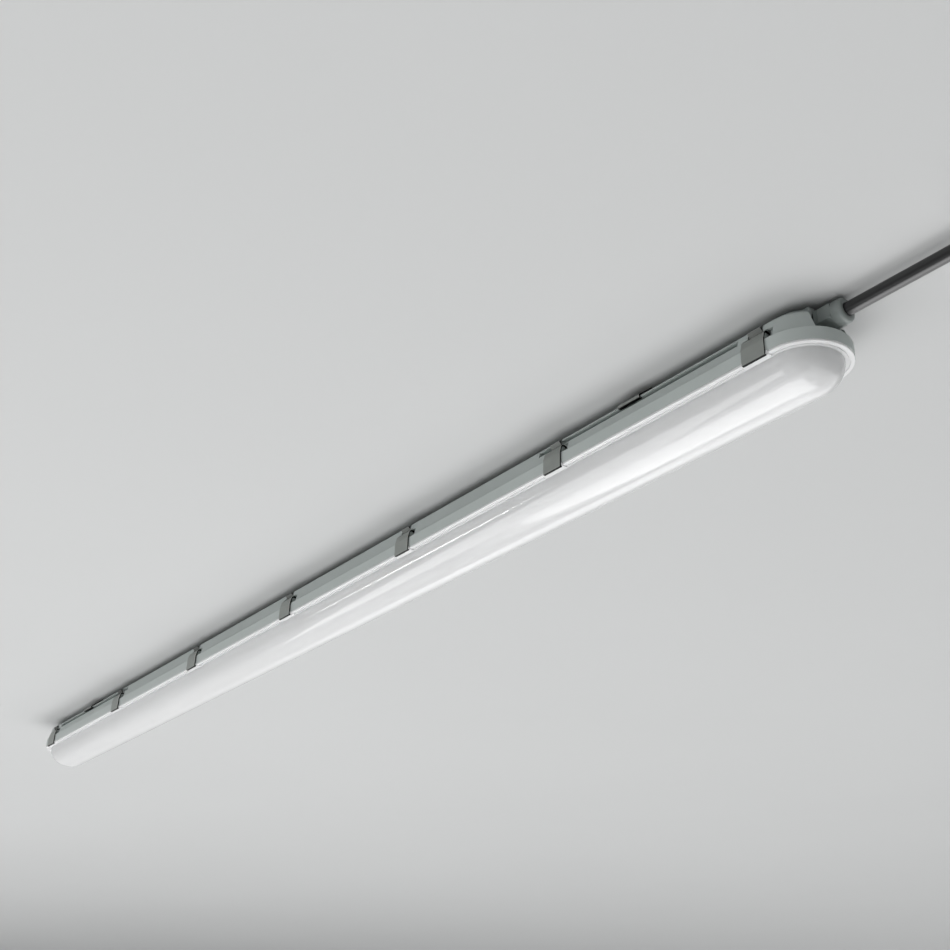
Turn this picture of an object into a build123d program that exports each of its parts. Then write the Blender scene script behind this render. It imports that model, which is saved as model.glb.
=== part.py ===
from build123d import *
import os
from math import asin, atan2, cos, degrees, hypot, radians, sin, sqrt, tan

os.makedirs("parts", exist_ok=True)

# A narrow weatherproof strip light for a ceiling. The frame is in millimetres: +X runs along the
# fitting towards its cable, -Y is the side seen first, +Z is up, and z = 0 is the ceiling.
# X = 0 is the middle between the two ceiling screws.

# Whole fitting
overall_length = 1500.0
body_width = 76.0
housing_x = 9.5             # middle of the housing, seen from the middle between the screws
overrun = 2.0               # how far a cutting tool runs past the face that it cuts

# Housing, measured up from the underside of its rim
back_height = 36.8
rim_height = 11.0
shoulder_height = 26.4
ledge_width = 1.6           # step from the rim to the raised body
body_draft = 14.0           # degrees, side of the raised body off vertical
roof_pitch = 37.0           # degrees, sloped roof between shoulder and flat back
wall = 2.4
back_radius = 3.0
shoulder_radius = 2.5
ledge_radius = 0.8

# Gutter in the rim, which takes the gasket and the tongue of the diffuser
skirt_wall = 2.2
gutter_width = 3.8
rib_wall = 2.0
gutter_depth = 8.6
tongue_height = 4.0
tongue_width = 1.6

# Ceiling brackets, stainless steel strip
bracket_inset = 182.5       # from the end of the housing, the mean of both brackets
bracket_length = 26.0
bracket_strip = 1.2
bracket_gap = 0.3           # between the strip and the housing
bracket_grip = 3.4          # tip of the hook short of the back of the recess
bracket_bend = 0.6
ceiling_hole = 5.5

# Long recesses that the brackets grip, and the channel that clears the screw heads
recess_floor = 20.0
recess_top = 25.0
recess_inset = 10.4         # back of the recess from the skirt
recess_length = 237.4
recess_near_shift = 2.0     # middle of a recess from its bracket
recess_far_shift = 19.4
channel_width = 16.0
channel_depth = 5.0

# Clips, stainless steel strip that hooks round a bar in the housing
clips_per_side = 7
end_clip_inset = 15.4       # middle of the last clip from the centre of the round end
clip_width = 22.5
clip_strip = 1.0
clip_gap = 0.35             # inner face of the strip to the rim, at the top
clip_lean = 1.7             # degrees, the lower end stands further out
clip_knee = 10.2            # height where the face turns in towards its bar
clip_ease = 10.0            # inner radius of the bend there
pivot_inset = 4.2           # middle of the bar from the skirt
pivot_height = 15.1
pivot_radius = 2.9
pivot_clearance = 0.1
bar_short = 1.2             # free end of the bar inside the edge of the clip
web_half = 6.0              # half length of the web that carries the bar, between the ears
curl_turn = 195.0           # degrees that an ear wraps round its bar
ear_width = 3.9
slit_rise = 2.6             # start of the slits above the middle of the bar
tail_gap = 0.9              # slit between the tail and each ear
tail_bend = 2.2
tail_lean = 38.0            # degrees, the tail leans out
tail_rise = 4.5
lip_height = 2.6            # top of the lip below the rim
lip_reach = 1.3

# Pockets for the clips
pocket_inset = 10.4         # back of the pocket from the skirt
pocket_height = 20.4
pocket_room = 1.5           # past each edge of the clip
slide_inset = 6.5           # shallower room beside the pocket, where the clip slides onto its bar
slide_room = 5.0
slide_height = 19.6
notch_height = 27.6
notch_room = 1.0
pocket_wall = 2.0

# Diffuser
flange_thick = 2.1
flange_inset = 0.3          # flange edge inside the skirt
lens_inset = 7.6            # from the skirt
lens_depth_share = 0.8157895    # of half its width
lens_wall = 2.0
flange_edge_radius = 0.8
flange_groove_inset = 3.6
flange_groove_width = 1.2
flange_groove_depth = 0.8
lug_margin = 1.5
lug_reach = 0.6             # lug past the skirt
lug_shelf = 1.3             # depth of the shelf under which the lip hooks
lug_gap = 0.3
lug_step = 1.0
lug_inset = 5.4

# Cable entry, one at each end
seat_offset = 20.0          # seat of the gland from the centre of the round end
seat_inset = 17.5           # edge of the seat from the skirt
entry_height = 26.3
entry_bore = 16.2
entry_thread = 9.0
entry_boss = 25.0
gland_washer_od = 21.0
gland_washer_thick = 1.2
gland_flats = 20.0
gland_hex = 3.4
gland_neck = 14.8
gland_neck_length = 9.0
gland_thread = 16.0
thread_gap = 0.1
nut_gap = 0.3
nut_hex = 11.3
nut_dome_od = 20.4
nut_dome = 9.0
nut_dome_radius = 3.2
nut_face = 3.2
cable_od = 10.8
cable_fit = 0.2
plug_head = 4.0
plug_slot_width = 2.4
plug_slot_depth = 2.0
plug_chamfer = 0.6

# Free stretch of cable and the ceiling box that it runs to
cable_run = 116.0
cable_end = 6.0             # cable past the outside of the ceiling box
box_side = 52.0
box_depth = 30.0
box_wall = 2.0
box_radius = 5.0
box_hole = 4.5
box_hole_inset = 15.0
lid_depth = 4.0
lid_edge_radius = 1.2
grommet_od = 17.0
grommet_lip = 1.6
grommet_lip_od = 19.6
box_post = 8.0
box_post_inset = 5.5
box_screw_head = 5.6
box_screw_head_depth = 2.2
box_screw_shank = 3.0
box_screw_slot = 1.2
box_screw_length = 12.0

# Gear tray and what it carries
tray_inset = 13.0           # from the skirt
tray_end_inset = 10.0       # end of the tray short of the centre of the round end
tray_bottom = 1.0           # underside of the tray above the underside of the rim
tray_sheet = 0.8
tray_flange = 8.0
tray_bend = 1.6
knob_end_inset = 19.0       # outer knob from the centre of the round end
knob_edge_inset = 9.0       # outer knob from the edge of the tray
knob_head = 14.0
knob_head_thick = 3.0
knob_edge_radius = 0.8
knob_grip_width = 3.0
knob_grip_depth = 1.6
knob_shank = 5.0
knob_shank_length = 12.0
knob_clearance = 0.1
post_od = 9.0

board_count = 3
board_gap = 22.0
board_width = 18.0
board_thick = 1.6
board_screw_head = 4.4
board_screw_head_thick = 1.4
board_screw_shank = 2.4
board_screw_length = 2.3
board_screw_x = 154.0       # from the middle of the board
board_screw_y = 6.0
chips_per_board = 30
chip_length = 3.5
chip_width = 2.8
chip_thick = 0.7
chip_end_inset = 7.0
link_offset = 8.1
link_overlap = 3.0
link_od = 1.6

driver_knob_gap = 31.0      # driver from the middle of the inner knob
driver_terminal_gap = 18.0
driver_width = 28.0
driver_height = 19.0
driver_edge = 1.5
driver_ear = 9.0
driver_ear_thick = 1.5
driver_screw_inset = 4.5
driver_screw_y = 10.9
driver_screw_head = 6.0
driver_screw_head_thick = 2.2
driver_screw_shank = 3.4
driver_screw_length = 4.0

terminal_inset = 44.0       # from the centre of the round end
terminal_length = 28.0
terminal_width = 26.0
terminal_height = 17.0
terminal_edge = 1.0
terminal_pitch = 8.0
terminal_screw = 4.0
terminal_screw_depth = 2.0
port_height = 6.0
port_od = 3.4
port_depth = 6.0
core_od = 2.6
core_spread = 3.2
core_straight = 9.0         # straight stretch of a core at each end
core_radius = 5.0
lead_in_bare = 11.0         # sheath past the inner end of the boss
lead_od = 1.8
lead_height = 8.0
lead_spread = 5.0
lead_knob_gap = 19.0        # where the leads go down, from the inner knob
lead_radius = 4.0
lead_hole_length = 6.0
lead_hole_width = 16.0

# Worked out from the sizes above
ceiling_to_back = bracket_gap + bracket_strip
z_rim = -(back_height + ceiling_to_back)
z_back = -ceiling_to_back
z_ledge = z_rim + rim_height
z_shoulder = z_rim + shoulder_height
z_pivot = z_rim + pivot_height
z_entry = z_rim + entry_height
body_half = body_width / 2
straight = overall_length - body_width
bracket_pitch = overall_length - 2 * bracket_inset
lens_half = body_half - lens_inset
lens_depth = lens_half * lens_depth_share
lug_inner = body_half - lug_inset
pocket_back = body_half - pocket_inset
recess_back = body_half - recess_inset
pivot_y = body_half - pivot_inset
seat_half = body_half - seat_inset
tray_half = body_half - tray_inset
body_base_half = body_half - ledge_width
shoulder_half = body_base_half - (shoulder_height - rim_height) * tan(radians(body_draft))
roof_rise = back_height - shoulder_height
back_half = shoulder_half - roof_rise / tan(radians(roof_pitch))
gutter_outer = body_half - skirt_wall
gutter_inner = gutter_outer - gutter_width
mouth_half = gutter_inner - rib_wall
arc_near = housing_x + straight / 2
arc_far = housing_x - straight / 2
clip_pitch = (straight - 2 * end_clip_inset) / (clips_per_side - 1)
clip_places = [arc_near - end_clip_inset - n * clip_pitch for n in range(clips_per_side)]
pocket_half = clip_width / 2 + pocket_room
slide_back = body_half - slide_inset
slide_places = [x + pocket_half + slide_room / 2 for x in clip_places]
bar_places = [x - (pocket_room + bar_short) / 2 for x in clip_places]
tail_half = clip_width / 2 - ear_width - tail_gap
notch_half = tail_half + notch_room
clip_face = body_half + clip_gap
curl_radius = pivot_radius + pivot_clearance
knee_out = clip_face - pivot_y
knee_under = pivot_height - clip_knee
neck_reach = hypot(knee_out, knee_under)
neck_lean = atan2(knee_out, knee_under) - asin(curl_radius / neck_reach)
neck_length = sqrt(neck_reach ** 2 - curl_radius ** 2)
seat_near = arc_near + seat_offset
seat_far = arc_far - seat_offset
bracket_places = {"near": bracket_pitch / 2, "far": -bracket_pitch / 2}
recess_middles = [bracket_pitch / 2 + recess_near_shift, recess_far_shift - bracket_pitch / 2]
recess_half = recess_length / 2
sides = {"front": -1, "back": 1}
board_pitch = (straight - 2 * knob_end_inset) / board_count
board_length = board_pitch - board_gap
x_inner_knob = housing_x + board_pitch / 2
x_terminal_end = arc_near - terminal_inset
x_terminal = x_terminal_end - terminal_length
x_driver = x_inner_knob + driver_knob_gap
x_driver_end = x_terminal - driver_terminal_gap


def level(height):
    """Horizontal plane centred on the housing, at a height above the ceiling's zero."""
    return Plane((housing_x, 0, height))


def block(x_from, x_to, y_from, y_to, z_from, z_to, mode=Mode.ADD):
    """Box between two corners, in the part that is being built."""
    with Locations(((x_from + x_to) / 2, (y_from + y_to) / 2, (z_from + z_to) / 2)):
        Box(abs(x_to - x_from), abs(y_to - y_from), abs(z_to - z_from), mode=mode)


def row(places, half_length, y_from, y_to, z_from, z_to, mode=Mode.ADD):
    """The same box at each place along the housing, on both of its sides."""
    y_middle = (y_from + y_to) / 2
    z_middle = (z_from + z_to) / 2
    with Locations(*[(x, side * y_middle, z_middle) for side in sides.values() for x in places]):
        Box(2 * half_length, y_to - y_from, z_to - z_from, mode=mode)


def facing(x, way=1, y=0.0, z=z_entry):
    """Upright plane across the housing, looking along X, centred on the cable entries unless moved."""
    return Plane((x, y, z), x_dir=(0, 1, 0), z_dir=(way, 0, 0))


def slot_ring(outer_half, inner_half):
    """Ring between two slot outlines that share the centres of the round ends."""
    SlotCenterToCenter(straight, 2 * outer_half)
    SlotCenterToCenter(straight, 2 * inner_half, mode=Mode.SUBTRACT)


def raised_body(base_z, base_half, knee_z, knee_half, top_z):
    """Drafted side and sloped roof of the housing, for its outside or for its inside."""
    with BuildPart() as body:
        with BuildSketch(level(base_z)):
            SlotCenterToCenter(straight, 2 * base_half)
        extrude(amount=knee_z - base_z, taper=body_draft)
        with BuildSketch(level(knee_z)):
            SlotCenterToCenter(straight, 2 * knee_half)
        extrude(amount=top_z - knee_z, taper=90 - roof_pitch)
    return body.part


def finish(piece, name):
    """Name a finished piece and write it."""
    piece.label = name
    export_step(piece, f"parts/{name}.step")


# Inside of the housing: everything that a wall of even thickness leaves free
knee_share = 1 + sin(radians(body_draft + roof_pitch))
knee_in = wall * (cos(radians(body_draft)) + sin(radians(roof_pitch))) / knee_share
knee_down = wall * (sin(radians(body_draft)) + cos(radians(roof_pitch))) / knee_share
inner_knee_half = shoulder_half - knee_in
inner_knee_z = z_shoulder - knee_down
inner_base_half = inner_knee_half + (inner_knee_z - z_ledge) * tan(radians(body_draft))
inner_body = raised_body(z_ledge, inner_base_half, inner_knee_z, inner_knee_half, z_back - wall)
outer_body = raised_body(z_ledge, body_base_half, z_shoulder, shoulder_half, z_back)

with BuildPart() as cavity:
    add(inner_body)
    with BuildSketch(level(z_rim - overrun)):
        SlotCenterToCenter(straight, 2 * mouth_half)
    extrude(amount=rim_height + overrun)
    # the moulded walls round each clip pocket stand into the inside
    row(clip_places, pocket_half + pocket_wall, pocket_back - pocket_wall, body_half,
        z_ledge - pocket_wall, z_rim + pocket_height + pocket_wall, Mode.SUBTRACT)
    row(slide_places, slide_room / 2 + pocket_wall, slide_back - pocket_wall, body_half,
        z_ledge - pocket_wall, z_rim + slide_height + pocket_wall, Mode.SUBTRACT)
    row(clip_places, notch_half + pocket_wall, pocket_back - pocket_wall, body_half,
        z_ledge, z_rim + notch_height + pocket_wall, Mode.SUBTRACT)
    row(recess_middles, recess_half + pocket_wall, recess_back - pocket_wall, body_half,
        z_rim + recess_floor - pocket_wall, z_rim + recess_top + pocket_wall, Mode.SUBTRACT)
    row(recess_middles, recess_half + pocket_wall, 0, channel_width / 2 + pocket_wall,
        z_back - channel_depth - pocket_wall, z_back, Mode.SUBTRACT)
    # flat end walls behind the cable entries, with a boss for each thread
    for arc, way in ((arc_near, 1), (arc_far, -1)):
        seat = arc + way * seat_offset
        block(seat - way * wall, seat + way * body_half, -seat_half - wall, seat_half + wall,
              z_ledge - wall, z_back, Mode.SUBTRACT)
        block(seat - way * entry_thread, seat, -entry_boss / 2, entry_boss / 2,
              z_entry - entry_boss / 2, z_back, Mode.SUBTRACT)

with BuildPart() as housing:
    with BuildSketch(level(z_rim)):
        SlotCenterToCenter(straight, body_width)
    extrude(amount=rim_height)
    add(outer_body)
    back_edges = housing.faces().sort_by(Axis.Z)[-1].edges()
    fillet(back_edges, radius=back_radius)
    shoulder_edges = housing.edges().filter_by(
        lambda e: abs(e.bounding_box().min.Z - z_shoulder) < ledge_radius
        and abs(e.bounding_box().max.Z - z_shoulder) < ledge_radius
    )
    fillet(shoulder_edges, radius=shoulder_radius)
    ledge_edges = housing.edges().filter_by(
        lambda e: abs(e.bounding_box().min.Z - z_ledge) < ledge_radius
        and e.bounding_box().max.Z < z_ledge + ledge_radius
        and max(abs(e.bounding_box().min.Y), abs(e.bounding_box().max.Y)) > body_half - ledge_radius
    )
    fillet(ledge_edges, radius=ledge_radius)
    # flat end walls, with the boss of each entry carried up to the height of the back
    for arc, way in ((arc_near, 1), (arc_far, -1)):
        seat = arc + way * seat_offset
        block(seat, seat + way * body_half, -seat_half, seat_half, z_ledge, z_back + overrun, Mode.SUBTRACT)
        block(seat - way * entry_thread, seat, -entry_boss / 2, entry_boss / 2, z_shoulder, z_back)
    add(cavity.part, mode=Mode.SUBTRACT)
    with BuildSketch(level(z_rim)):
        slot_ring(gutter_outer, gutter_inner)
    extrude(amount=gutter_depth, mode=Mode.SUBTRACT)
    row(clip_places, pocket_half, pocket_back, body_half + overrun,
        z_ledge, z_rim + pocket_height, Mode.SUBTRACT)
    row(slide_places, slide_room / 2, slide_back, body_half + overrun,
        z_ledge, z_rim + slide_height, Mode.SUBTRACT)
    row(clip_places, notch_half, pocket_back, body_half + overrun,
        z_rim + pocket_height, z_rim + notch_height, Mode.SUBTRACT)
    row(recess_middles, recess_half, recess_back, body_half + overrun,
        z_rim + recess_floor, z_rim + recess_top, Mode.SUBTRACT)
    row(recess_middles, recess_half, 0, channel_width / 2,
        z_back - channel_depth, z_back + overrun, Mode.SUBTRACT)
    # the bar in each pocket that its clip hooks round, with the web that carries it
    with Locations(*[Location((x, side * pivot_y, z_pivot), (0, 90, 0))
                     for side in sides.values() for x in bar_places]):
        Cylinder(pivot_radius, clip_width + pocket_room - bar_short)
    row(clip_places, web_half, pocket_back, pivot_y, z_pivot - pivot_radius, z_pivot)
    # posts that the knobs of the gear tray turn into
    knob_outer_y = tray_half - knob_edge_inset
    knob_places = [(arc_far + knob_end_inset, knob_outer_y), (x_inner_knob - board_pitch, 0),
                   (x_inner_knob, 0), (arc_near - knob_end_inset, knob_outer_y)]
    tray_top = z_rim + tray_bottom + tray_sheet
    with BuildSketch(Plane.XY.offset(tray_top)):
        with Locations(*knob_places):
            Circle(post_od / 2)
    extrude(amount=z_back - wall - tray_top)
    with BuildSketch(Plane.XY.offset(tray_top)):
        with Locations(*knob_places):
            Circle(knob_shank / 2 + knob_clearance)
    extrude(amount=knob_shank_length, mode=Mode.SUBTRACT)
    for seat, way in ((seat_near, 1), (seat_far, -1)):
        with BuildSketch(facing(seat + way * overrun, way)):
            Circle(entry_bore / 2)
        extrude(amount=-entry_thread - 2 * overrun, mode=Mode.SUBTRACT)
finish(housing.part, "housing")

# Foam gasket in the gutter, pressed by the tongue of the diffuser
with BuildPart() as gasket:
    with BuildSketch(level(z_rim + tongue_height)):
        slot_ring(gutter_outer, gutter_inner)
    extrude(amount=gutter_depth - tongue_height)
finish(gasket.part, "gasket")


def bowl(half, depth):
    """Half-elliptic trough with a domed end at the centre of each round end."""
    top = z_rim - flange_thick
    with BuildPart() as trough:
        with BuildSketch(Plane.YZ.offset(arc_far)):
            with BuildLine():
                EllipticalCenterArc((0, top), half, depth, 180, arc_size=180)
                Line((half, top), (-half, top))
            make_face()
        extrude(amount=straight)
        for x, side, start in ((arc_near, -1, 180), (arc_far, 1, 270)):
            with BuildSketch(Plane.YZ.offset(x)):
                with BuildLine():
                    EllipticalCenterArc((0, top), half, depth, start, arc_size=90)
                    Polyline((0, top - depth), (0, top), (side * half, top))
                make_face()
            revolve(axis=Axis((x, 0, 0), (0, 0, 1)), revolution_arc=180)
    return trough.part


outer_bowl = bowl(lens_half, lens_depth)
inner_bowl = bowl(lens_half - lens_wall, lens_depth - lens_wall)

with BuildPart() as diffuser:
    with BuildSketch(level(z_rim - flange_thick)):
        SlotCenterToCenter(straight, 2 * (body_half - flange_inset))
    extrude(amount=flange_thick)
    fillet(diffuser.faces().sort_by(Axis.Z)[0].edges(), radius=flange_edge_radius)
    groove_outer = body_half - flange_groove_inset
    with BuildSketch(level(z_rim - flange_thick)):
        slot_ring(groove_outer, groove_outer - flange_groove_width)
    extrude(amount=flange_groove_depth, mode=Mode.SUBTRACT)
    add(outer_bowl)
    add(inner_bowl, mode=Mode.SUBTRACT)
    with BuildSketch(level(z_rim - flange_thick)):
        SlotCenterToCenter(straight, 2 * (lens_half - lens_wall))
    extrude(amount=flange_thick, mode=Mode.SUBTRACT)
    tongue_middle = (gutter_outer + gutter_inner) / 2
    with BuildSketch(level(z_rim)):
        slot_ring(tongue_middle + tongue_width / 2, tongue_middle - tongue_width / 2)
    extrude(amount=tongue_height)
    # a lug at each clip, with a shelf that the lip of the clip hooks under
    lug_half = clip_width / 2 + lug_margin
    lug_face = body_half + lug_reach
    z_shelf = z_rim - lip_height + lug_gap
    row(clip_places, lug_half, lug_inner, lug_face, z_shelf, z_rim)
    row(clip_places, lug_half, lug_inner, lug_face - lug_shelf, z_shelf - lug_step, z_shelf)
finish(diffuser.part, "diffuser")


def clip(name, side, x):
    """One clip: face and lip at full width, two curled ears and a tail between them."""
    lean = radians(clip_lean)
    outer = Side.LEFT if side < 0 else Side.RIGHT
    up = Vector(-side * sin(lean), cos(lean))
    knee = Vector(side * clip_face, z_rim + clip_knee)
    foot = knee - up * ((clip_knee + lip_height) / cos(lean))
    neck = Vector(-side * sin(neck_lean), cos(neck_lean))
    top = knee + neck * neck_length
    with BuildPart() as piece:
        with BuildSketch(Plane.YZ.offset(x - clip_width / 2)):
            with BuildLine() as ear:
                Line(foot - Vector(side * lip_reach, 0), foot)
                FilletPolyline(foot, knee, top, radius=clip_ease)
                JernArc(top, neck, curl_radius, side * curl_turn)
                offset(ear.line, amount=clip_strip, side=outer)
            make_face()
        extrude(amount=clip_width)
        slit_half = tail_half + tail_gap
        block(x - slit_half, x + slit_half, side * pivot_y, side * (clip_face + clip_strip + overrun),
              z_pivot + slit_rise, z_rim + notch_height, Mode.SUBTRACT)
        block(x - slit_half, x + slit_half, 0, side * pivot_y,
              z_ledge, z_rim + notch_height, Mode.SUBTRACT)
        with BuildSketch(Plane.YZ.offset(x - tail_half)):
            with BuildLine() as tail:
                Line(top - neck * clip_strip, top)
                turn = JernArc(top, neck, curl_radius, side * (90 - degrees(neck_lean)))
                back = JernArc(turn @ 1, turn % 1, tail_bend, -side * (90 + tail_lean))
                Line(back @ 1, (back @ 1) + (back % 1) * tail_rise)
                offset(tail.line, amount=clip_strip, side=outer)
            make_face()
        extrude(amount=2 * tail_half)
    finish(piece.part, name)


for side_name, side in sides.items():
    for number, x in enumerate(clip_places, 1):
        clip(f"clip_{side_name}_{number}", side, x)


# Ceiling brackets: flat under the ceiling, down both slopes and hooked into the long recesses
back_reach = back_half + ceiling_to_back * tan(radians(roof_pitch / 2))
leg_in = shoulder_half + (shoulder_height - recess_top) * tan(radians(body_draft))
leg_y = leg_in + ceiling_to_back + bracket_bend / 2
leg_z = -(leg_y - back_reach) * tan(radians(roof_pitch))
hook_z = z_rim + recess_top - bracket_strip
half_line = [(back_reach, 0), (leg_y, leg_z), (leg_y, hook_z), (recess_back + bracket_grip, hook_z)]
for name, x in bracket_places.items():
    with BuildPart() as bracket:
        with BuildSketch(Plane.YZ.offset(x - bracket_length / 2)):
            with BuildLine() as strip:
                corners = [(-y, z) for y, z in reversed(half_line)] + half_line
                FilletPolyline(*corners, radius=bracket_bend + bracket_strip)
                offset(strip.line, amount=bracket_strip, side=Side.RIGHT)
            make_face()
        extrude(amount=bracket_length)
        with BuildSketch(Plane((x, 0, 0))):
            Circle(ceiling_hole / 2)
        extrude(amount=-bracket_strip, mode=Mode.SUBTRACT)
    finish(bracket.part, f"ceiling_bracket_{name}")

# Cable gland: sealing washer, body, rubber seal and domed nut, one after another along +X
x_body = seat_near + gland_washer_thick
x_neck = x_body + gland_hex
x_nut = x_neck + nut_gap
x_nut_face = x_nut + nut_hex + nut_dome
x_neck_end = x_neck + gland_neck_length
x_seal_end = x_nut_face - nut_face
with BuildPart() as gland_washer:
    with BuildSketch(facing(seat_near)):
        Circle(gland_washer_od / 2)
        Circle(entry_bore / 2, mode=Mode.SUBTRACT)
    extrude(amount=gland_washer_thick)
finish(gland_washer.part, "gland_washer")

with BuildPart() as gland_body:
    with BuildSketch(facing(x_body)):
        RegularPolygon(gland_flats / 2, 6, major_radius=False, rotation=30)
    extrude(amount=gland_hex)
    with BuildSketch(facing(x_neck)):
        Circle(gland_neck / 2)
    extrude(amount=gland_neck_length)
    with BuildSketch(facing(x_body)):
        Circle(gland_thread / 2)
    extrude(amount=-gland_washer_thick - entry_thread)
    with BuildSketch(facing(x_neck_end)):
        Circle(cable_od / 2 + cable_fit)
    extrude(amount=seat_near - entry_thread - x_neck_end, mode=Mode.SUBTRACT)
finish(gland_body.part, "gland_body")

with BuildPart() as gland_seal:
    with BuildSketch(facing(x_neck_end)):
        Circle(gland_neck / 2)
        Circle(cable_od / 2, mode=Mode.SUBTRACT)
    extrude(amount=x_seal_end - x_neck_end)
finish(gland_seal.part, "gland_seal")

with BuildPart() as gland_nut:
    with BuildSketch(facing(x_nut)):
        RegularPolygon(gland_flats / 2, 6, major_radius=False, rotation=30)
    extrude(amount=nut_hex)
    with BuildSketch(facing(x_nut + nut_hex)):
        Circle(nut_dome_od / 2)
    extrude(amount=nut_dome)
    fillet(gland_nut.faces().sort_by(Axis.X)[-1].edges(), radius=nut_dome_radius)
    with BuildSketch(facing(x_nut)):
        Circle(gland_neck / 2 + thread_gap)
    extrude(amount=x_seal_end - x_nut, mode=Mode.SUBTRACT)
    with BuildSketch(facing(x_seal_end)):
        Circle(cable_od / 2 + cable_fit)
    extrude(amount=nut_face, mode=Mode.SUBTRACT)
finish(gland_nut.part, "gland_nut")

# Blanking plug in the entry at the far end
x_plug = seat_far - gland_washer_thick
with BuildPart() as plug_washer:
    with BuildSketch(facing(seat_far, -1)):
        Circle(gland_washer_od / 2)
        Circle(entry_bore / 2, mode=Mode.SUBTRACT)
    extrude(amount=gland_washer_thick)
finish(plug_washer.part, "plug_washer")

with BuildPart() as blanking_plug:
    with BuildSketch(facing(x_plug, -1)):
        Circle(gland_washer_od / 2)
    extrude(amount=plug_head)
    chamfer(blanking_plug.faces().sort_by(Axis.X)[0].edges(), length=plug_chamfer)
    with BuildSketch(facing(x_plug, -1)):
        Circle(gland_thread / 2)
    extrude(amount=-gland_washer_thick - entry_thread)
    block(x_plug - plug_head, x_plug - plug_head + plug_slot_depth, -gland_washer_od, gland_washer_od,
          z_entry - plug_slot_width / 2, z_entry + plug_slot_width / 2, Mode.SUBTRACT)
finish(blanking_plug.part, "blanking_plug")

# Supply cable: the end held in the gland, and the free stretch, taut between gland and ceiling box
x_lead_in = seat_near - entry_thread - lead_in_bare
x_box = x_nut_face + cable_run
with BuildPart() as cable_lead_in:
    with BuildSketch(facing(x_lead_in)):
        Circle(cable_od / 2)
    extrude(amount=x_nut_face - x_lead_in)
finish(cable_lead_in.part, "cable_lead_in")

with BuildPart() as supply_cable:
    with BuildSketch(facing(x_nut_face)):
        Circle(cable_od / 2)
    extrude(amount=cable_run + cable_end)
finish(supply_cable.part, "supply_cable")
cable_section = supply_cable.faces().sort_by(Axis.X)[0].area
print("supply cable, straight, no bends; volume over section x length:",
      round(supply_cable.part.volume / (cable_section * (cable_run + cable_end)), 4))

# Ceiling box: square tray upside down under the ceiling, lid below it, grommet for the cable
box_x = x_box + box_side / 2
post_offset = box_side / 2 - box_post_inset
post_places = [(box_x + a * post_offset, b * post_offset) for a in (-1, 1) for b in (-1, 1)]
with BuildPart() as ceiling_box:
    with BuildSketch(Plane((box_x, 0, 0))):
        RectangleRounded(box_side, box_side, box_radius)
    extrude(amount=-box_depth)
    with BuildSketch(Plane((box_x, 0, -box_wall))):
        RectangleRounded(box_side - 2 * box_wall, box_side - 2 * box_wall, box_radius - box_wall)
    extrude(amount=box_wall - box_depth, mode=Mode.SUBTRACT)
    with BuildSketch(Plane.XY.offset(-box_wall)):
        with Locations(*post_places):
            Circle(box_post / 2)
    extrude(amount=box_wall - box_depth)
    with BuildSketch(Plane.XY.offset(-box_depth)):
        with Locations(*post_places):
            Circle(box_screw_shank / 2)
    extrude(amount=box_screw_length, mode=Mode.SUBTRACT)
    with BuildSketch(Plane((box_x, 0, 0))):
        with Locations((0, box_hole_inset), (0, -box_hole_inset)):
            Circle(box_hole / 2)
    extrude(amount=-box_wall, mode=Mode.SUBTRACT)
    with BuildSketch(facing(x_box)):
        Circle(grommet_od / 2)
    extrude(amount=box_wall, mode=Mode.SUBTRACT)
finish(ceiling_box.part, "ceiling_box")

with BuildPart() as ceiling_box_lid:
    with BuildSketch(Plane((box_x, 0, -box_depth))):
        RectangleRounded(box_side, box_side, box_radius)
    extrude(amount=-lid_depth)
    fillet(ceiling_box_lid.faces().sort_by(Axis.Z)[0].edges(), radius=lid_edge_radius)
    with BuildSketch(Plane.XY.offset(-box_depth)):
        with Locations(*post_places):
            Circle(box_screw_shank / 2)
    extrude(amount=-lid_depth, mode=Mode.SUBTRACT)
    with BuildSketch(Plane.XY.offset(-box_depth - lid_depth)):
        with Locations(*post_places):
            Circle(box_screw_head / 2)
    extrude(amount=box_screw_head_depth, mode=Mode.SUBTRACT)
finish(ceiling_box_lid.part, "ceiling_box_lid")

with BuildPart() as ceiling_box_screws:
    with BuildSketch(Plane.XY.offset(-box_depth - lid_depth)):
        with Locations(*post_places):
            Circle(box_screw_head / 2)
    extrude(amount=box_screw_head_depth)
    with BuildSketch(Plane.XY.offset(-box_depth - lid_depth)):
        with Locations(*post_places):
            Circle(box_screw_shank / 2)
    extrude(amount=box_screw_length)
    with Locations(*[(x, y, -box_depth - lid_depth) for x, y in post_places]):
        Box(box_screw_head, box_screw_slot, box_screw_head_depth, mode=Mode.SUBTRACT)
finish(ceiling_box_screws.part, "ceiling_box_screws")

with BuildPart() as ceiling_box_grommet:
    with BuildSketch(facing(x_box)):
        Circle(grommet_od / 2)
    extrude(amount=box_wall)
    for x, way in ((x_box, -1), (x_box + box_wall, 1)):
        with BuildSketch(facing(x, way)):
            Circle(grommet_lip_od / 2)
        extrude(amount=grommet_lip)
    with BuildSketch(facing(x_box - grommet_lip)):
        Circle(cable_od / 2)
    extrude(amount=box_wall + 2 * grommet_lip, mode=Mode.SUBTRACT)
finish(ceiling_box_grommet.part, "ceiling_box_grommet")

# Where the boards, the driver and their screws sit along the tray
board_places = [housing_x + (n - (board_count - 1) / 2) * board_pitch for n in range(board_count)]
board_screws_at = [(x + a * board_screw_x, -a * board_screw_y) for x in board_places for a in (-1, 1)]
x_lead = x_inner_knob + lead_knob_gap
driver_screws_at = [(x_driver + driver_screw_inset, driver_screw_y),
                    (x_driver_end - driver_screw_inset, -driver_screw_y)]

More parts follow.
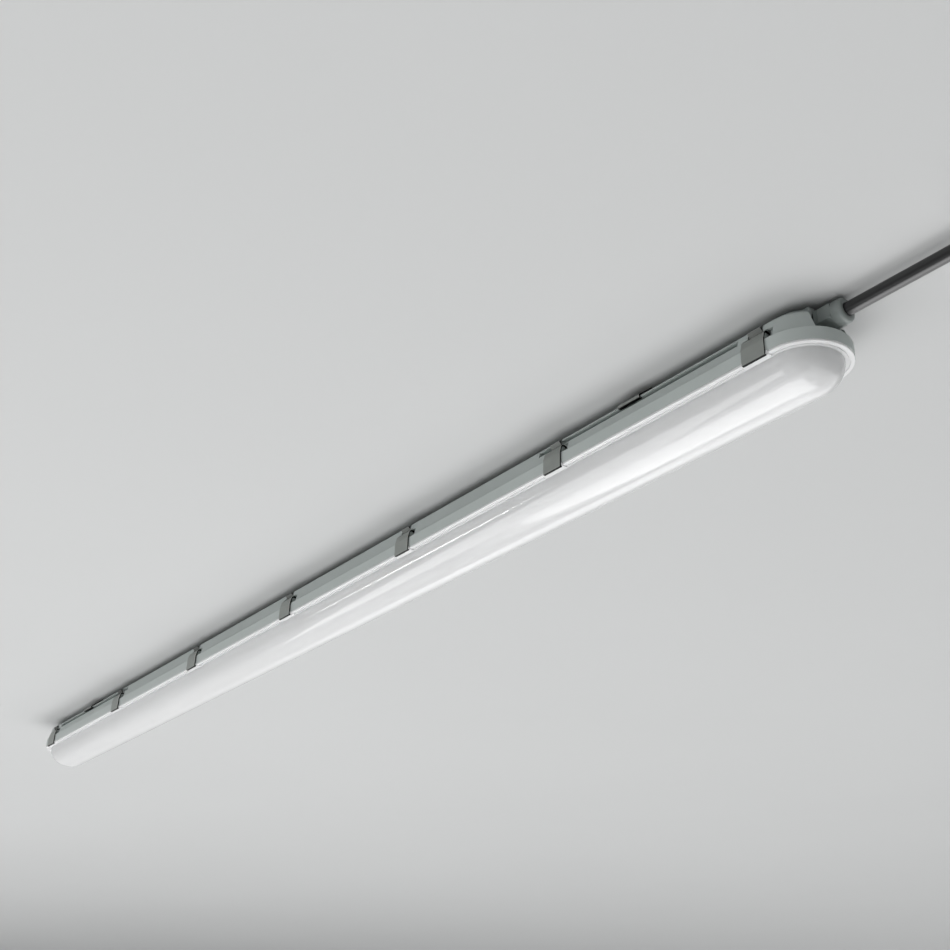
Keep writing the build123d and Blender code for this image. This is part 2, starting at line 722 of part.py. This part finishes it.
# Gear tray: a shallow steel channel held up by four quarter-turn knobs
z_tray = z_rim + tray_bottom
x_tray = arc_far + tray_end_inset
with BuildPart() as gear_tray:
    with BuildSketch(Plane.YZ.offset(x_tray)):
        with BuildLine() as section:
            FilletPolyline((-tray_half, z_tray + tray_sheet + tray_flange), (-tray_half, z_tray),
                           (tray_half, z_tray), (tray_half, z_tray + tray_sheet + tray_flange),
                           radius=tray_bend)
            offset(section.line, amount=tray_sheet, side=Side.LEFT)
        make_face()
    extrude(amount=straight - 2 * tray_end_inset)
    with BuildSketch(Plane.XY.offset(z_tray)):
        with Locations(*knob_places):
            Circle(knob_shank / 2 + knob_clearance)
        with Locations(*board_screws_at):
            Circle(board_screw_shank / 2)
        with Locations(*driver_screws_at):
            Circle(driver_screw_shank / 2)
        with Locations((x_lead, 0)):
            Rectangle(lead_hole_length, lead_hole_width)
    extrude(amount=tray_sheet, mode=Mode.SUBTRACT)
finish(gear_tray.part, "gear_tray")

with BuildPart() as tray_knobs:
    with BuildSketch(Plane.XY.offset(z_tray)):
        with Locations(*knob_places):
            Circle(knob_head / 2)
    extrude(amount=-knob_head_thick)
    fillet(tray_knobs.edges().group_by(Axis.Z)[0], radius=knob_edge_radius)
    with Locations(*[(x, y, z_tray - knob_head_thick) for x, y in knob_places]):
        Box(knob_head, knob_grip_width, knob_grip_depth, mode=Mode.SUBTRACT)
    with BuildSketch(Plane.XY.offset(z_tray)):
        with Locations(*knob_places):
            Circle(knob_shank / 2)
    extrude(amount=knob_shank_length)
finish(tray_knobs.part, "tray_knobs")

# LED boards in a row under the tray, with their chips, screws and links
z_board = z_tray - board_thick
chip_span = board_length - 2 * chip_end_inset
for number, x in enumerate(board_places, 1):
    with BuildPart() as led_board:
        with BuildSketch(Plane((x, 0, z_board))):
            Rectangle(board_length, board_width)
            with Locations((-board_screw_x, board_screw_y), (board_screw_x, -board_screw_y)):
                Circle(board_screw_shank / 2, mode=Mode.SUBTRACT)
        extrude(amount=board_thick)
    finish(led_board.part, f"led_board_{number}")

with BuildPart() as led_chips:
    for x in board_places:
        with BuildSketch(Plane((x, 0, z_board))):
            with GridLocations(chip_span / (chips_per_board - 1), 0, chips_per_board, 1):
                Rectangle(chip_length, chip_width)
        extrude(amount=-chip_thick)
finish(led_chips.part, "led_chips")

with BuildPart() as board_screws:
    with BuildSketch(Plane.XY.offset(z_board)):
        with Locations(*board_screws_at):
            Circle(board_screw_head / 2)
    extrude(amount=-board_screw_head_thick)
    with BuildSketch(Plane.XY.offset(z_board)):
        with Locations(*board_screws_at):
            Circle(board_screw_shank / 2)
    extrude(amount=board_screw_length)
finish(board_screws.part, "board_screws")

with BuildPart() as board_links:
    link_length = board_gap + 2 * link_overlap
    for x in board_places[1:]:
        for side in sides.values():
            x_link = x - board_length / 2 + link_overlap
            with BuildSketch(facing(x_link, -1, side * link_offset, z_board - link_od / 2)):
                Circle(link_od / 2)
            extrude(amount=link_length)
finish(board_links.part, "board_links")

# LED driver on top of the tray, with a screw through each of its ears
z_gear = z_tray + tray_sheet
port_places = [n * terminal_pitch for n in (-1, 0, 1)]
with BuildPart() as led_driver:
    block(x_driver + driver_ear, x_driver_end - driver_ear, -driver_width / 2, driver_width / 2,
          z_gear, z_gear + driver_height)
    fillet(led_driver.edges().filter_by(Axis.X), radius=driver_edge)
    block(x_driver, x_driver_end, -driver_width / 2, driver_width / 2, z_gear, z_gear + driver_ear_thick)
    with BuildSketch(Plane.XY.offset(z_gear)):
        with Locations(*driver_screws_at):
            Circle(driver_screw_shank / 2)
    extrude(amount=driver_ear_thick, mode=Mode.SUBTRACT)
    for y in port_places:
        with BuildSketch(facing(x_driver_end - driver_ear, 1, y, z_gear + port_height)):
            Circle(port_od / 2)
        extrude(amount=-port_depth, mode=Mode.SUBTRACT)
    for side in sides.values():
        with BuildSketch(facing(x_driver + driver_ear, 1, side * lead_spread, z_gear + lead_height)):
            Circle(port_od / 2)
        extrude(amount=port_depth, mode=Mode.SUBTRACT)
finish(led_driver.part, "led_driver")

with BuildPart() as driver_screws:
    with BuildSketch(Plane.XY.offset(z_gear + driver_ear_thick)):
        with Locations(*driver_screws_at):
            Circle(driver_screw_head / 2)
    extrude(amount=driver_screw_head_thick)
    with BuildSketch(Plane.XY.offset(z_gear + driver_ear_thick)):
        with Locations(*driver_screws_at):
            Circle(driver_screw_shank / 2)
    extrude(amount=-driver_screw_length)
finish(driver_screws.part, "driver_screws")

# Terminal block, with a port for each core and each driver lead, and its clamping screws on top
with BuildPart() as terminal_block:
    block(x_terminal, x_terminal_end, -terminal_width / 2, terminal_width / 2,
          z_gear, z_gear + terminal_height)
    fillet(terminal_block.edges().filter_by(Axis.Z), radius=terminal_edge)
    for y in port_places:
        for x, way in ((x_terminal, -1), (x_terminal_end, 1)):
            with BuildSketch(facing(x, way, y, z_gear + port_height)):
                Circle(port_od / 2)
            extrude(amount=-port_depth, mode=Mode.SUBTRACT)
    with BuildSketch(Plane.XY.offset(z_gear + terminal_height)):
        for x in (x_terminal + port_depth, x_terminal_end - port_depth):
            with Locations(*[(x, y) for y in port_places]):
                Circle(terminal_screw / 2)
    extrude(amount=-terminal_screw_depth, mode=Mode.SUBTRACT)
finish(terminal_block.part, "terminal_block")

# Wires: mains cores from the cable, leads to the driver, and leads down to the boards
with BuildPart() as mains_cores:
    for n, y in zip((-1, 0, 1), port_places):
        z_port = z_gear + port_height
        with BuildLine() as core:
            FilletPolyline((x_lead_in, n * core_spread, z_entry),
                           (x_lead_in - core_straight, n * core_spread, z_entry),
                           (x_terminal_end + core_straight, y, z_port),
                           (x_terminal_end - port_depth, y, z_port), radius=core_radius)
        with BuildSketch(Plane(core.line @ 0, z_dir=core.line % 0)):
            Circle(core_od / 2)
        sweep(path=core.line)
finish(mains_cores.part, "mains_cores")

with BuildPart() as driver_leads:
    for y in port_places:
        with BuildSketch(facing(x_driver_end - driver_ear - port_depth, 1, y, z_gear + port_height)):
            Circle(core_od / 2)
        extrude(amount=x_terminal + port_depth - x_driver_end + driver_ear + port_depth)
finish(driver_leads.part, "driver_leads")

with BuildPart() as led_leads:
    for side in sides.values():
        y = side * lead_spread
        with BuildLine() as lead:
            FilletPolyline((x_driver + driver_ear + port_depth, y, z_gear + lead_height),
                           (x_lead, y, z_gear + lead_height),
                           (x_lead, y, z_tray), radius=lead_radius)
        with BuildSketch(Plane(lead.line @ 0, z_dir=lead.line % 0)):
            Circle(lead_od / 2)
        sweep(path=lead.line)
finish(led_leads.part, "led_leads")
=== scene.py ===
from math import cos, pi, radians, sin

import bpy
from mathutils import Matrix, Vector


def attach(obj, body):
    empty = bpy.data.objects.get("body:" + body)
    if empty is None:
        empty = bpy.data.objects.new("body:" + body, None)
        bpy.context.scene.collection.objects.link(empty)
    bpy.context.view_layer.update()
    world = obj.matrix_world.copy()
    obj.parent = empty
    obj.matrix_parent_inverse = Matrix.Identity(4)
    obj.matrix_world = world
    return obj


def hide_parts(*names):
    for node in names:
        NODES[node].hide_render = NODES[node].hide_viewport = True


bl_info = {
    "name": "Vapor Tight Light Fixture",
    "version": (1, 0, 0),
    "blender": (4, 5, 0),
    "location": "View3D > Sidebar > Light Fixture",
    "description": "Dresses a weatherproof ceiling light: finishes, supply cable, ceiling and lamps",
    "category": "Object",
}

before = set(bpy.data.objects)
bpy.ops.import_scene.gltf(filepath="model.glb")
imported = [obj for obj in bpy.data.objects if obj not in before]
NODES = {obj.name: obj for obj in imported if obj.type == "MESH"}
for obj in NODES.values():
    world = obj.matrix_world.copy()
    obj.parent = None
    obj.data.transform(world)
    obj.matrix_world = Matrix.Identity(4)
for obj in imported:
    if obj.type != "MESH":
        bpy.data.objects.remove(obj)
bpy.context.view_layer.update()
ROOT = "fixture"

# The camera: lens and sensor in mm, its nearest and furthest view in m, and where it looks
FOCAL_LENGTH = 50.0
SENSOR_WIDTH = 36.0
NEAREST = 0.01
FURTHEST = 60.0
HEADING = radians(142.7)
RISE = radians(26.23)

# The supply cable is straight and level, from the gland nut to the inside of the ceiling box
CABLE_START = 0.7667
CABLE_MIDDLE = 0.8277
CABLE_END = 0.8887
CABLE_HEIGHT = -0.012
CABLE_ORDER = 3
CABLE_ROUNDNESS = 8

# Painted shade on the steel strip's cut ends and downward faces: how far a face turns from its flat
# before it darkens, and is fully dark
PAINTED_SHADE_STARTS = 0.28
PAINTED_SHADE_FULL = 0.85
PAINTED_SHADE_COLOUR = (0.006, 0.006, 0.006, 1)

# The ceiling is open over the flat back of the housing
CEILING_HEIGHT = 0.0003
OPENING_HALF_LENGTH = 0.712
OPENING_HALF_WIDTH = 0.0165

# Soft lamps that face up and stay out of reflections: name, size along X and Y, place, brightness
LAMPS = (
    ("lamp_side", (2.5, 3.69), (-2.65, -2.295, -2.60), 2.7),
    ("lamp_front", (3.0, 2.0), (0.3, -1.55, -2.63), 2.65),
    ("lamp_back", (4.2, 2.0), (-0.2, 1.1, -2.55), 1.85),
    ("lamp_far", (4.0, 2.5), (-0.6, 4.2, -2.60), 1.45),
)

# Level panels that only reflections show: name, low and high corner, height, brightness
PANELS = (
    ("panel_below", (-2.44, -1.0), (3.22, 3.36), -2.63, 1.38),
    ("panel_side", (-3.9, -4.14), (-1.4, -0.45), -2.60, 2.6),
    ("panel_bright", (-2.1, -0.45), (0.57, 2.04), -2.58, 4.2),
    ("panel_far", (-11.0, -1.0), (-2.44, 3.36), -2.61, 0.5),
    ("panel_back", (-6.2, 3.36), (3.22, 14.0), -2.62, 1.8),
    ("panel_back_far", (-11.0, 5.2), (-6.2, 14.0), -2.62, 1.5),
    ("panel_back_low", (-11.0, 3.36), (-6.2, 5.2), -2.62, 0.9),
    ("panel_rim", (-40.0, -1.0), (-11.0, 14.0), -2.61, 0.6),
    ("panel_horizon", (-40.0, 14.0), (6.0, 36.0), -2.61, 1.1),
    ("panel_streak", (-2.1, -1.95), (-1.25, -1.4), -0.50, 14.0),
)
WORLD_COLOUR = (0.98, 1.0, 1.0, 1)
WORLD_BRIGHTNESS = 0.24


class FixtureSizes(bpy.types.PropertyGroup):
    cable_diameter: bpy.props.FloatProperty(
        name="Cable Diameter", description="Outside of the supply cable's sheath",
        default=0.0108, min=0.004, max=0.02, unit="LENGTH", precision=4)
    ceiling_reach: bpy.props.FloatProperty(
        name="Ceiling Reach", description="Half the side of the ceiling around the fixture",
        default=40.0, min=2.0, max=80.0, unit="LENGTH")
    camera_x: bpy.props.FloatProperty(
        name="Camera X", description="Where the camera stands along the fixture",
        default=1.2528, unit="LENGTH", precision=4)
    camera_y: bpy.props.FloatProperty(
        name="Camera Y", description="Where the camera stands beside the fixture",
        default=-0.7169, unit="LENGTH", precision=4)
    camera_z: bpy.props.FloatProperty(
        name="Camera Z", description="Where the camera stands below the ceiling",
        default=-0.5534, unit="LENGTH", precision=4)


class FixtureColours(bpy.types.PropertyGroup):
    housing: bpy.props.FloatVectorProperty(
        name="Housing", description="Grey-green moulded polycarbonate", subtype="COLOR",
        size=3, min=0.0, max=1.0, default=(0.445, 0.484, 0.471))
    diffuser: bpy.props.FloatVectorProperty(
        name="Diffuser", description="Opal white polycarbonate", subtype="COLOR",
        size=3, min=0.0, max=1.0, default=(0.765, 0.77, 0.775))
    steel: bpy.props.FloatVectorProperty(
        name="Steel Strip", description="Stainless clips and brackets", subtype="COLOR",
        size=3, min=0.0, max=1.0, default=(0.335, 0.35, 0.333))
    ceiling: bpy.props.FloatVectorProperty(
        name="Ceiling", description="Matt painted ceiling", subtype="COLOR",
        size=3, min=0.0, max=1.0, default=(0.525, 0.53, 0.53))


def blank(name):
    """A node material with its tree and its shader, ready for more nodes."""
    made = bpy.data.materials.new(name)
    made.use_nodes = True
    tree = made.node_tree
    return made, tree, tree.nodes["Principled BSDF"]


def grain(tree, scale, detail=3.0, stretch=(1.0, 1.0, 1.0)):
    """Noise in the object's own coordinates, stretched along its axes."""
    where = tree.nodes.new("ShaderNodeTexCoord")
    mapping = tree.nodes.new("ShaderNodeMapping")
    mapping.inputs["Scale"].default_value = stretch
    noise = tree.nodes.new("ShaderNodeTexNoise")
    noise.inputs["Scale"].default_value = scale
    noise.inputs["Detail"].default_value = detail
    tree.links.new(where.outputs["Object"], mapping.inputs["Vector"])
    tree.links.new(mapping.outputs["Vector"], noise.inputs["Vector"])
    return noise.outputs["Fac"]


def tinted(tree, factor, colour, spread):
    """A colour that varies a little round the given one, over the middle of the noise's range."""
    ramp = tree.nodes.new("ShaderNodeValToRGB")
    low, high = ramp.color_ramp.elements
    low.position, high.position = 0.3, 0.7
    low.color = [c * (1 - spread) for c in colour] + [1]
    high.color = [min(1, c * (1 + spread)) for c in colour] + [1]
    tree.links.new(factor, ramp.inputs["Fac"])
    return ramp.outputs["Color"]


def spanned(tree, factor, low, high):
    """A number that follows the noise between two ends."""
    span = tree.nodes.new("ShaderNodeMapRange")
    span.inputs["To Min"].default_value = low
    span.inputs["To Max"].default_value = high
    tree.links.new(factor, span.inputs["Value"])
    return span.outputs["Result"]


def bumped(tree, shader, factor, strength, distance):
    """Raise the surface a little where the noise is high."""
    bump = tree.nodes.new("ShaderNodeBump")
    bump.inputs["Strength"].default_value = strength
    bump.inputs["Distance"].default_value = distance
    tree.links.new(factor, bump.inputs["Height"])
    tree.links.new(bump.outputs["Normal"], shader.inputs["Normal"])


def moulded(name, colour, roughness, spark=1800.0, strength=0.25):
    """Moulded plastic: cloudy colour, spark-eroded grain, uneven sheen."""
    made, tree, shader = blank(name)
    cloud = grain(tree, scale=14.0)
    fine = grain(tree, scale=spark, detail=2.0)
    sheen = spanned(tree, cloud, low=roughness - 0.05, high=roughness + 0.05)
    tree.links.new(tinted(tree, cloud, colour, spread=0.03), shader.inputs["Base Color"])
    tree.links.new(sheen, shader.inputs["Roughness"])
    bumped(tree, shader, fine, strength, distance=0.00004)
    return made


def opal(name, colour):
    """Opal polycarbonate: white right through, with a clear glossy skin."""
    made, tree, shader = blank(name)
    cloud = grain(tree, scale=9.0)
    wave = grain(tree, scale=30.0, detail=1.0, stretch=(0.25, 1.0, 1.0))
    sheen = spanned(tree, cloud, low=0.035, high=0.05)
    tree.links.new(tinted(tree, cloud, colour, spread=0.012), shader.inputs["Base Color"])
    tree.links.new(sheen, shader.inputs["Roughness"])
    bumped(tree, shader, wave, strength=0.001, distance=0.0003)
    shader.inputs["Subsurface Weight"].default_value = 0.6
    shader.inputs["Subsurface Radius"].default_value = (0.012, 0.012, 0.012)
    shader.inputs["Subsurface Scale"].default_value = 1.0
    return made


def worked(tree, operation, *terms):
    """A number worked out from sockets and plain numbers."""
    node = tree.nodes.new("ShaderNodeMath")
    node.operation = operation
    for socket, term in zip(node.inputs, terms):
        if isinstance(term, float):
            socket.default_value = term
        else:
            tree.links.new(term, socket)
    return node.outputs["Value"]


def rolled_steel(name, colour, roughness, stretch=(0.04, 1.0, 1.0)):
    """Stainless strip with fine rolled lines, and painted shade that darkens its cut ends and where
    it faces down.
    """
    made, tree, shader = blank(name)
    lines = grain(tree, scale=2600.0, detail=2.0, stretch=stretch)
    smudge = grain(tree, scale=60.0)
    # Painted shade: faces turned along X (the cut ends) or facing down are mixed towards a near-black
    # colour
    where = tree.nodes.new("ShaderNodeTexCoord")
    facing = tree.nodes.new("ShaderNodeSeparateXYZ")
    tree.links.new(where.outputs["Normal"], facing.inputs["Vector"])
    across = worked(tree, "ABSOLUTE", facing.outputs["X"])
    below = worked(tree, "MULTIPLY", facing.outputs["Z"], -1.0)
    painted_shade = tree.nodes.new("ShaderNodeMapRange")
    painted_shade.inputs["From Min"].default_value = PAINTED_SHADE_STARTS
    painted_shade.inputs["From Max"].default_value = PAINTED_SHADE_FULL
    tree.links.new(worked(tree, "MAXIMUM", across, below), painted_shade.inputs["Value"])
    mix = tree.nodes.new("ShaderNodeMix")
    mix.data_type = "RGBA"
    mix.inputs["B"].default_value = PAINTED_SHADE_COLOUR
    tree.links.new(painted_shade.outputs["Result"], mix.inputs["Factor"])
    tree.links.new(tinted(tree, smudge, colour, spread=0.05), mix.inputs["A"])
    tree.links.new(mix.outputs["Result"], shader.inputs["Base Color"])
    shader.inputs["Metallic"].default_value = 1.0
    sheen = spanned(tree, lines, low=roughness - 0.07, high=roughness + 0.07)
    tree.links.new(sheen, shader.inputs["Roughness"])
    bumped(tree, shader, lines, strength=0.25, distance=0.00003)
    return made


def rubber(name, colour, roughness):
    """Dull rubber or foam with a fine uneven skin."""
    made, tree, shader = blank(name)
    fine = grain(tree, scale=900.0)
    sheen = spanned(tree, fine, low=roughness - 0.06, high=roughness + 0.06)
    tree.links.new(tinted(tree, fine, colour, spread=0.12), shader.inputs["Base Color"])
    tree.links.new(sheen, shader.inputs["Roughness"])
    bumped(tree, shader, fine, strength=0.3, distance=0.0001)
    return made


def sheath(name):
    """The cable's glossy black sheath, with faint lines along it."""
    made, tree, shader = blank(name)
    fine = grain(tree, scale=700.0, detail=2.0, stretch=(0.1, 1.0, 1.0))
    black = tinted(tree, fine, (0.004, 0.004, 0.0045), spread=0.2)
    tree.links.new(black, shader.inputs["Base Color"])
    tree.links.new(spanned(tree, fine, low=0.27, high=0.31), shader.inputs["Roughness"])
    bumped(tree, shader, fine, strength=0.05, distance=0.00008)
    shader.inputs["Specular IOR Level"].default_value = 0.65
    return made


def paint(name, colour):
    """Matt paint that shows from below only, and is clear from above."""
    made, tree, shader = blank(name)
    cloud = grain(tree, scale=1.5)
    tree.links.new(tinted(tree, cloud, colour, spread=0.01), shader.inputs["Base Color"])
    shader.inputs["Roughness"].default_value = 0.9
    shader.inputs["Specular IOR Level"].default_value = 0.0
    clear = tree.nodes.new("ShaderNodeBsdfTransparent")
    side = tree.nodes.new("ShaderNodeNewGeometry")
    mix = tree.nodes.new("ShaderNodeMixShader")
    tree.links.new(side.outputs["Backfacing"], mix.inputs["Fac"])
    tree.links.new(shader.outputs["BSDF"], mix.inputs[1])
    tree.links.new(clear.outputs["BSDF"], mix.inputs[2])
    tree.links.new(mix.outputs["Shader"], tree.nodes["Material Output"].inputs["Surface"])
    return made


def glowing(name, strength):
    """A plain white glow, as of a soft box."""
    made, _, shader = blank(name)
    shader.inputs["Base Color"].default_value = (0, 0, 0, 1)
    shader.inputs["Emission Color"].default_value = (1, 1, 1, 1)
    shader.inputs["Emission Strength"].default_value = strength
    return made


def level_sheet(name, corners, faces, height):
    """A flat object at one height."""
    sheet = bpy.data.meshes.new(name)
    sheet.from_pydata([(x, y, height) for x, y in corners], [], faces)
    return bpy.data.objects.new(name, sheet)


def corners_of(low, high):
    """The corners of a rectangle, in the order that makes it face down."""
    return [low, (low[0], high[1]), high, (high[0], low[1])]


def rectangle(name, low, high, height):
    """A level rectangle that faces down."""
    return level_sheet(name, corners_of(low, high), [(0, 1, 2, 3)], height)


def ceiling_sheet(reach):
    """A ceiling that faces down, open over the fixture's flat back, so that the back has light."""
    outer = corners_of((-reach, -reach), (reach, reach))
    inner = corners_of((-OPENING_HALF_LENGTH, -OPENING_HALF_WIDTH),
                       (OPENING_HALF_LENGTH, OPENING_HALF_WIDTH))
    round_opening = [(0, 1, 5, 4), (1, 2, 6, 5), (2, 3, 7, 6), (3, 0, 4, 7)]
    return level_sheet("ceiling", outer + inner, round_opening, CEILING_HEIGHT)


def dress(material, *names):
    """Put one material on the named CAD nodes."""
    for name in names:
        mesh = NODES[name].data
        mesh.materials.clear()
        mesh.materials.append(material)


class LIGHT_OT_camera(bpy.types.Operator):
    """Stand the camera below the ceiling, beside the cable end, and look along the fixture"""

    bl_idname = "light_fixture.camera"
    bl_label = "Camera"

    def execute(self, context):
        sizes = context.scene.light_fixture_sizes
        lens = bpy.data.cameras.new("camera")
        lens.lens = FOCAL_LENGTH
        lens.sensor_width = SENSOR_WIDTH
        lens.clip_start = NEAREST
        lens.clip_end = FURTHEST
        camera = bpy.data.objects.new("camera", lens)
        context.collection.objects.link(camera)
        camera.location = (sizes.camera_x, sizes.camera_y, sizes.camera_z)
        ahead = Vector((cos(RISE) * cos(HEADING), cos(RISE) * sin(HEADING), sin(RISE)))
        camera.rotation_mode = "QUATERNION"
        camera.rotation_quaternion = ahead.to_track_quat("-Z", "Y")
        context.scene.camera = camera
        return {"FINISHED"}


class LIGHT_OT_supply_cable(bpy.types.Operator):
    """Run the black supply cable from the gland to the ceiling box"""

    bl_idname = "light_fixture.supply_cable"
    bl_label = "Supply Cable"

    def execute(self, context):
        sizes = context.scene.light_fixture_sizes
        route = [(x, 0, CABLE_HEIGHT) for x in (CABLE_START, CABLE_MIDDLE, CABLE_END)]
        line = bpy.data.curves.new("supply_cable_line", "CURVE")
        line.dimensions = "3D"
        spline = line.splines.new("NURBS")
        spline.points.add(len(route) - 1)
        for point, place in zip(spline.points, route):
            point.co = (*place, 1)
        spline.order_u = CABLE_ORDER
        spline.use_endpoint_u = True
        line.bevel_depth = sizes.cable_diameter / 2
        line.bevel_resolution = CABLE_ROUNDNESS
        line.use_fill_caps = True
        cable = bpy.data.objects.new("supply_cable_round", line)
        context.collection.objects.link(cable)
        made = sheath("cable_sheath")
        line.materials.append(made)
        dress(made, "cable_lead_in")
        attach(cable, ROOT)
        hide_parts("supply_cable")
        return {"FINISHED"}


class LIGHT_OT_housing(bpy.types.Operator):
    """Give the housing its grey-green moulded plastic, and the gasket its foam"""

    bl_idname = "light_fixture.housing"
    bl_label = "Housing"

    def execute(self, context):
        colours = context.scene.light_fixture_colours
        dress(moulded("housing_plastic", tuple(colours.housing), roughness=0.42), "housing")
        dress(rubber("gasket_foam", (0.05, 0.05, 0.052), roughness=0.9), "gasket")
        return {"FINISHED"}


class LIGHT_OT_diffuser(bpy.types.Operator):
    """Give the diffuser its opal plastic"""

    bl_idname = "light_fixture.diffuser"
    bl_label = "Diffuser"

    def execute(self, context):
        colours = context.scene.light_fixture_colours
        dress(opal("diffuser_opal", tuple(colours.diffuser)), "diffuser")
        return {"FINISHED"}


class LIGHT_OT_clips(bpy.types.Operator):
    """Give the clips and the ceiling brackets their stainless strip"""

    bl_idname = "light_fixture.clips"
    bl_label = "Clips and Brackets"

    def execute(self, context):
        steel = tuple(context.scene.light_fixture_colours.steel)
        dress(rolled_steel("clip_steel", steel, roughness=0.42),
              *[name for name in NODES if name.startswith("clip_")])
        dress(rolled_steel("bracket_steel", steel, roughness=0.38, stretch=(1.0, 0.04, 0.04)),
              "ceiling_bracket_near", "ceiling_bracket_far")
        return {"FINISHED"}


class LIGHT_OT_gland(bpy.types.Operator):
    """Give the cable gland and the blanking plug their grey polyamide and black rubber"""

    bl_idname = "light_fixture.gland"
    bl_label = "Gland and Plug"

    def execute(self, context):
        dress(moulded("gland_polyamide", (0.22, 0.244, 0.236), roughness=0.38),
              "gland_body", "gland_nut", "blanking_plug")
        dress(rubber("gland_rubber", (0.010, 0.010, 0.010), roughness=0.7),
              "gland_washer", "gland_seal", "plug_washer", "ceiling_box_grommet")
        return {"FINISHED"}


class LIGHT_OT_gear(bpy.types.Operator):
    """Finish the gear inside: tray, boards, chips, driver, terminal block, wires and screws"""

    bl_idname = "light_fixture.gear"
    bl_label = "Gear Inside"

    def execute(self, context):
        dress(moulded("tray_paint", (0.72, 0.73, 0.73), roughness=0.4, spark=600.0, strength=0.35),
              "gear_tray")
        dress(moulded("white_nylon", (0.70, 0.70, 0.68), roughness=0.45),
              "tray_knobs", "terminal_block")
        dress(moulded("board_mask", (0.76, 0.77, 0.76), roughness=0.3),
              "led_board_1", "led_board_2", "led_board_3")
        dress(moulded("chip_gel", (0.72, 0.52, 0.10), roughness=0.25), "led_chips")
        dress(moulded("driver_case", (0.60, 0.61, 0.61), roughness=0.5), "led_driver")
        dress(moulded("brown_insulation", (0.10, 0.035, 0.012), roughness=0.35),
              "mains_cores", "driver_leads")
        dress(moulded("white_insulation", (0.68, 0.68, 0.66), roughness=0.35),
              "led_leads", "board_links")
        dress(rolled_steel("zinc_plate", (0.60, 0.60, 0.57), roughness=0.35, stretch=(1.0, 1.0, 1.0)),
              "board_screws", "driver_screws", "ceiling_box_screws")
        return {"FINISHED"}


class LIGHT_OT_ceiling_box(bpy.types.Operator):
    """Give the ceiling box and its lid their white plastic"""

    bl_idname = "light_fixture.ceiling_box"
    bl_label = "Ceiling Box"

    def execute(self, context):
        dress(moulded("box_plastic", (0.66, 0.66, 0.65), roughness=0.45),
              "ceiling_box", "ceiling_box_lid")
        return {"FINISHED"}


class LIGHT_OT_stage(bpy.types.Operator):
    """Build the plain ceiling above the fixture, the lamps and the world"""

    bl_idname = "light_fixture.stage"
    bl_label = "Ceiling and Lamps"

    def execute(self, context):
        ceiling = ceiling_sheet(context.scene.light_fixture_sizes.ceiling_reach)
        context.collection.objects.link(ceiling)
        colour = tuple(context.scene.light_fixture_colours.ceiling)
        ceiling.data.materials.append(paint("ceiling_paint", colour))
        for name, (width, length), place, brightness in LAMPS:
            light = bpy.data.lights.new(name, "AREA")
            light.shape = "RECTANGLE"
            light.size, light.size_y = width, length
            light.energy = brightness * pi * width * length
            lamp = bpy.data.objects.new(name, light)
            lamp.location = place
            lamp.rotation_euler = (pi, 0, 0)
            lamp.visible_glossy = False
            context.collection.objects.link(lamp)
        for name, low, high, height, brightness in PANELS:
            panel = rectangle(name, low, high, height)
            panel.data.materials.append(glowing(name, brightness))
            panel.visible_camera = False
            panel.visible_diffuse = False
            panel.visible_shadow = False
            context.collection.objects.link(panel)
        world = context.scene.world or bpy.data.worlds.new("world")
        context.scene.world = world
        world.use_nodes = True
        background = world.node_tree.nodes["Background"]
        background.inputs["Color"].default_value = WORLD_COLOUR
        background.inputs["Strength"].default_value = WORLD_BRIGHTNESS
        context.scene.view_settings.view_transform = "Standard"
        return {"FINISHED"}


class LIGHT_PT_fixture(bpy.types.Panel):
    """The fixture's sizes, colours and steps, in the sidebar"""

    bl_label = "Light Fixture"
    bl_idname = "LIGHT_PT_fixture"
    bl_space_type = "VIEW_3D"
    bl_region_type = "UI"
    bl_category = "Light Fixture"

    def draw(self, context):
        layout = self.layout
        for group in (context.scene.light_fixture_sizes, context.scene.light_fixture_colours):
            column = layout.column(align=True)
            for name in group.__annotations__:
                column.prop(group, name)
        for operator in OPERATORS:
            layout.operator(operator.bl_idname)


OPERATORS = (
    LIGHT_OT_camera,
    LIGHT_OT_supply_cable,
    LIGHT_OT_housing,
    LIGHT_OT_diffuser,
    LIGHT_OT_clips,
    LIGHT_OT_gland,
    LIGHT_OT_gear,
    LIGHT_OT_ceiling_box,
    LIGHT_OT_stage,
)
CLASSES = (FixtureSizes, FixtureColours, *OPERATORS, LIGHT_PT_fixture)


def register():
    for cls in CLASSES:
        bpy.utils.register_class(cls)
    bpy.types.Scene.light_fixture_sizes = bpy.props.PointerProperty(type=FixtureSizes)
    bpy.types.Scene.light_fixture_colours = bpy.props.PointerProperty(type=FixtureColours)


def unregister():
    del bpy.types.Scene.light_fixture_colours
    del bpy.types.Scene.light_fixture_sizes
    for cls in reversed(CLASSES):
        bpy.utils.unregister_class(cls)


def main():
    register()
    bpy.ops.light_fixture.camera()
    bpy.ops.light_fixture.supply_cable()
    bpy.ops.light_fixture.housing()
    bpy.ops.light_fixture.diffuser()
    bpy.ops.light_fixture.clips()
    bpy.ops.light_fixture.gland()
    bpy.ops.light_fixture.gear()
    bpy.ops.light_fixture.ceiling_box()
    bpy.ops.light_fixture.stage()


if __name__ == "__main__":
    main()
